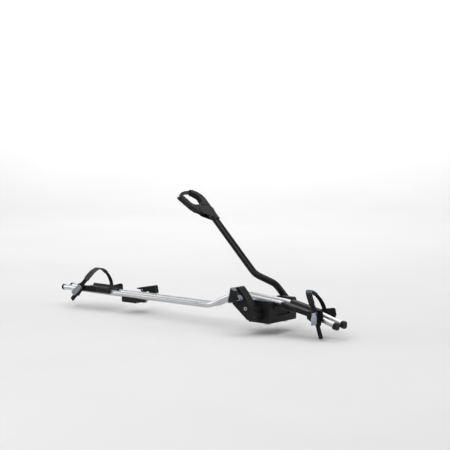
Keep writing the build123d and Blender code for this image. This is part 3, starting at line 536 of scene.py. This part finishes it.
# collar behind the grip
col = [[Vector((KX + r * math.cos(2 * math.pi * i / 64), y, KZ + r * math.sin(2 * math.pi * i / 64))) * MM for i in range(64)] for r, y in ((15.0, KY1 - 0.5), (15.0, KY1 + 2.0), (14.4, KY1 + 2.7), (13.0, KY1 + 2.8))]
cv, cf = tube_of(col)
f += [tuple(i + len(v) for i in q) for q in cf]
v += cv
piece("knob_grip", v, f, "black_plastic", "knob", ("knob_body",))
v, f = [], []
for a in LOBES:
    span_i = [j / 4.0 for j in range(-4 * 44, 4 * 44 + 1)]
    good = []
    for deg in span_i:
        phi = math.radians(deg)
        ro = lobe_r(phi)
        ri = max(23.0, lobe_r(phi, PAD_W))
        if ro - ri > 0.9:
            good.append((phi, ri, ro))
    loops = []
    for phi, ri, ro in good:
        t = a + phi
        e = min(phi - good[0][0], good[-1][0] - phi)
        q = 1.0 if e > 0.06 else 0.75 + 0.25 * e / 0.06
        y0, y1 = KY0 - 0.8, KY1 - 4.0
        ro2 = ri + (ro - ri) * q
        sec = [(ri, y1), (ri, y0 + 0.9), (ri + 0.7, y0 + 0.1), (ri + 1.2, y0), (max(ri + 1.3, ro2 - 2.4), y0), (max(ri + 1.4, ro2 - 1.0), y0 + 0.6), (ro2 - 0.2, y0 + 1.8), (ro2, y0 + 3.2), (ro2, y1)]
        loops.append([Vector((KX + r * math.cos(t), y, KZ + r * math.sin(t))) * MM for r, y in sec])
    pv, pf = tube_of(loops)
    f += [tuple(i + len(v) for i in q) for q in pf]
    v += pv
piece("knob_tip_pads", v, f, "blue_grey_plastic", "knob", ("knob_pads",))

# ------------------------------------------------------------------ lock face
LX, LZ = -26.3, 56.6
LY = -131.0
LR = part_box("lock_cylinder")[1].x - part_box("lock_cylinder")[0].x
LR = LR / 2 / MM


def lathe(profile, n=56):
    return [[Vector((LX + r * math.cos(2 * math.pi * i / n), y, LZ + r * math.sin(2 * math.pi * i / n))) * MM for i in range(n)] for r, y in profile]


v, f = tube_of(lathe([(LR, LY + 20), (LR, LY - 0.7), (LR - 0.25, LY - 1.2), (LR - 0.7, LY - 1.4), (LR - 1.6, LY - 1.4), (LR - 1.9, LY - 1.2), (LR - 2.1, LY - 0.6)]))
ring_faces = len(f)
pv, pf = tube_of(lathe([(LR - 2.0, LY + 6), (LR - 2.0, LY - 0.5), (LR - 2.2, LY - 0.8), (LR - 2.6, LY - 0.9)]))
# keyway: a narrow slot plug
off = len(v)
v += pv
f += [tuple(i + off for i in q) for q in pf]
lock = piece("lock_face", v, f, "lock_chrome", "lock", ("lock_cylinder",), extra=["lock_dark", "black_plastic"])
for p in lock.data.polygons:
    cx = p.center.x / MM - LX
    cz = p.center.z / MM - LZ
    if math.hypot(cx, cz) < LR - 2.05 and p.center.y / MM < LY + 5:
        p.material_index = 1
# painted shade: the keyhole is a thin black slot piece set on the plug face, standing for the dark inside of the
# opening
keyhole_shade_verts = []
for y in (LY - 1.05, LY - 0.2):
    for x, z in ((-0.65, -3.4), (0.65, -3.4), (0.65, -1.0), (1.1, -0.6), (1.1, 0.6), (0.65, 1.0), (0.65, 3.4), (-0.65, 3.4)):
        keyhole_shade_verts.append(Vector((LX + x, y, LZ + z)) * MM)
sv, sf = tube_of([keyhole_shade_verts[:8], keyhole_shade_verts[8:]])
piece("lock_keyway", sv, sf, "black_plastic", "lock", ("lock_cylinder",))

# ------------------------------------------------------------------ stage
FLOOR_Z = -0.046
sweep = bmesh.new()
prof = []
R = 2.5
for i in range(0, 25):
    a = math.radians(90.0 * i / 24)
    prof.append((5.0 + R * math.sin(a), FLOOR_Z + R - R * math.cos(a)))
prof = [(-9.0, FLOOR_Z)] + prof + [(5.0 + R, 9.0)]
away = Vector((-BACK.x, -BACK.y, 0)).normalized()
side = Vector((-away.y, away.x, 0))
rows = []
for d, z in prof:
    rows.append([sweep.verts.new(tuple(away * d + side * s + Vector((0, 0, z)))) for s in (-12, 12)])
for r0, r1 in zip(rows, rows[1:]):
    sweep.faces.new((r0[0], r0[1], r1[1], r1[0]))
me = bpy.data.meshes.new("backdrop")
sweep.to_mesh(me)
sweep.free()
for p in me.polygons:
    p.use_smooth = True
floor = bpy.data.objects.new("backdrop", me)
bpy.context.scene.collection.objects.link(floor)
fm, fnt, fb = new_mat("pale_floor")
fb.inputs["Roughness"].default_value = 0.9
fb.inputs["Specular IOR Level"].default_value = 0.1
fxyz = fnt.nodes.new("ShaderNodeSeparateXYZ")
fnt.links.new(coords(fnt), fxyz.inputs["Vector"])
# painted light: the sweep's colour runs from grey (0.60) on the floor to near white (0.88) up the wall, evening out how
# the lamps light it
low_col = ramp(fnt, noise(fnt, coords(fnt), 1.2, 2.0), [(0.3, (0.60, 0.60, 0.60)), (0.7, (0.62, 0.62, 0.62))])
high_col = ramp(fnt, noise(fnt, coords(fnt), 1.4, 2.0), [(0.3, (0.88, 0.88, 0.88)), (0.7, (0.90, 0.90, 0.90))])
fnt.links.new(mix_col(fnt, span(fnt, fxyz.outputs["Z"], FLOOR_Z + 0.02, 1.2, 0.0, 1.0), low_col, high_col), fb.inputs["Base Color"])
floor.data.materials.append(fm)


def area(name, loc, target, size, power, col=(1, 1, 1), size_y=None):
    ld = bpy.data.lights.new(name, "AREA")
    ld.energy = power
    ld.color = col
    ld.shape = "RECTANGLE"
    ld.size = size
    ld.size_y = size_y or size
    o = bpy.data.objects.new(name, ld)
    o.location = loc
    o.rotation_mode = "QUATERNION"
    o.rotation_quaternion = (Vector(target) - Vector(loc)).to_track_quat("-Z", "Y")
    bpy.context.scene.collection.objects.link(o)
    return o


mid = (-0.4, 0, 0.1)
area("key", (0.4, -3.4, 3.6), mid, 2.2, 95.0)
area("top", (-0.6, 0.6, 4.2), mid, 4.0, 95.0)
area("left", (-4.6, -2.0, 2.0), mid, 2.2, 40.0)
area("right", (3.6, 1.6, 2.2), mid, 2.0, 40.0)

wall = away * 7.4 + Vector((0, 0, 1.6))
area("wall_wash", tuple(away * 3.6 + Vector((0, 0, 4.6))), tuple(wall), 6.0, 230.0, size_y=1.5)

world = bpy.data.worlds.new("world")
bpy.context.scene.world = world
world.use_nodes = True
bg = world.node_tree.nodes["Background"]
bg.inputs["Color"].default_value = (1, 1, 1, 1)
bg.inputs["Strength"].default_value = 0.5
bpy.context.scene.view_settings.view_transform = "Standard"
